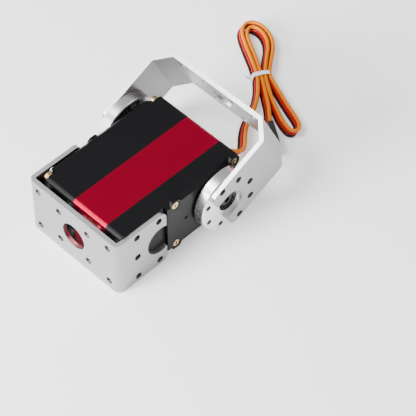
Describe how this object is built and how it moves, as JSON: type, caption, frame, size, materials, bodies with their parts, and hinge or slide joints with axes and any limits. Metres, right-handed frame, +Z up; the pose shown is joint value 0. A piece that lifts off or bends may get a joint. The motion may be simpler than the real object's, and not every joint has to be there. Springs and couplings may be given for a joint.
{
  "type": "servo tilt mount",
  "caption": "Dual-shaft servo with a small U bracket for mounting and a wide U bracket that tilts on two discs to carry a camera; tied lead with connector.",
  "frame": {"origin": "centre of the mounting bracket's outer base face", "axes": "+X along the servo from the mounting bracket to its output shaft, +Z up, driven disc on the -Y side"},
  "size_m": [0.1486, 0.0787, 0.043],
  "materials": {
    "bracket_aluminium": "satin anodised",
    "disc_aluminium": "satin anodised",
    "black_steel": "black oxide",
    "black_cover": "satin black",
    "red_case": "satin red anodised",
    "brass_screws": "polished",
    "steel": "machined",
    "gear_steel": "hobbed",
    "magnet": "dull",
    "black_plastic": "matt",
    "board_green": "lacquered",
    "black_rubber": "matt",
    "lead_insulation": "smooth",
    "white_tie": "smooth",
    "connector_black": "satin"
  },
  "bodies": {
    "servo": {"mount_bracket": "bracket_aluminium", "mount_set_screws": "black_steel", "front_cover": "black_cover", "middle_case": "red_case", "rear_cover": "black_cover", "front_case_screws": "brass_screws", "rear_case_screws": "brass_screws", "gear_pins": "steel", "motor_can": "steel", "motor_end_cap": "black_plastic", "motor_magnets": "magnet", "motor_screws": "steel", "circuit_board": "board_green", "board_chips": "black_plastic", "board_capacitor": "black_plastic", "position_sensor": "black_plastic", "output_bearing": "steel", "output_seal": "black_rubber", "idler_axle": "steel", "lead_grommet": "black_rubber", "inner_leads": "lead_insulation", "lead": "lead_insulation", "lead_hank": "lead_insulation", "lead_tail": "lead_insulation", "twist_tie": "white_tie", "connector_housing": "connector_black", "connector_contacts": "brass_screws"},
    "tilting_bracket": {"tilt_bracket": "bracket_aluminium", "tilt_set_screws": "black_steel", "driven_disc": "disc_aluminium", "free_disc": "disc_aluminium", "disc_screw": "black_steel", "output_shaft": "steel", "output_gear": "gear_steel", "idler_bearing": "steel"},
    "second_gear": {"second_gear": "gear_steel"},
    "first_gear": {"first_gear": "gear_steel"},
    "rotor": {"motor_armature": "steel", "motor_pinion": "brass_screws"}
  },
  "joints": [
    {"name": "tilt", "type": "hinge", "parent": "servo", "child": "tilting_bracket", "pos_m": [0.0576, 0, 0.0012], "axis": [0, -1, 0], "range_deg": [-14, 105]},
    {"name": "second_gear_turn", "type": "hinge", "parent": "servo", "child": "second_gear", "pos_m": [0.0448, 0, 0.0012], "axis": [0, -1, 0], "range_deg": [-232, 32]},
    {"name": "first_gear_turn", "type": "hinge", "parent": "servo", "child": "first_gear", "pos_m": [0.0322, 0, 0.0012], "axis": [0, -1, 0], "range_deg": [-78, 579]},
    {"name": "rotor_turn", "type": "hinge", "parent": "servo", "child": "rotor", "pos_m": [0.0202, 0, 0.0012], "axis": [0, -1, 0], "range_deg": [-2196, 294]}
  ],
  "couplings": [
    {"joint": "second_gear_turn", "follows": "tilt", "ratio": -2.2},
    {"joint": "first_gear_turn", "follows": "tilt", "ratio": 5.5},
    {"joint": "rotor_turn", "follows": "tilt", "ratio": -20.9}
  ]
}
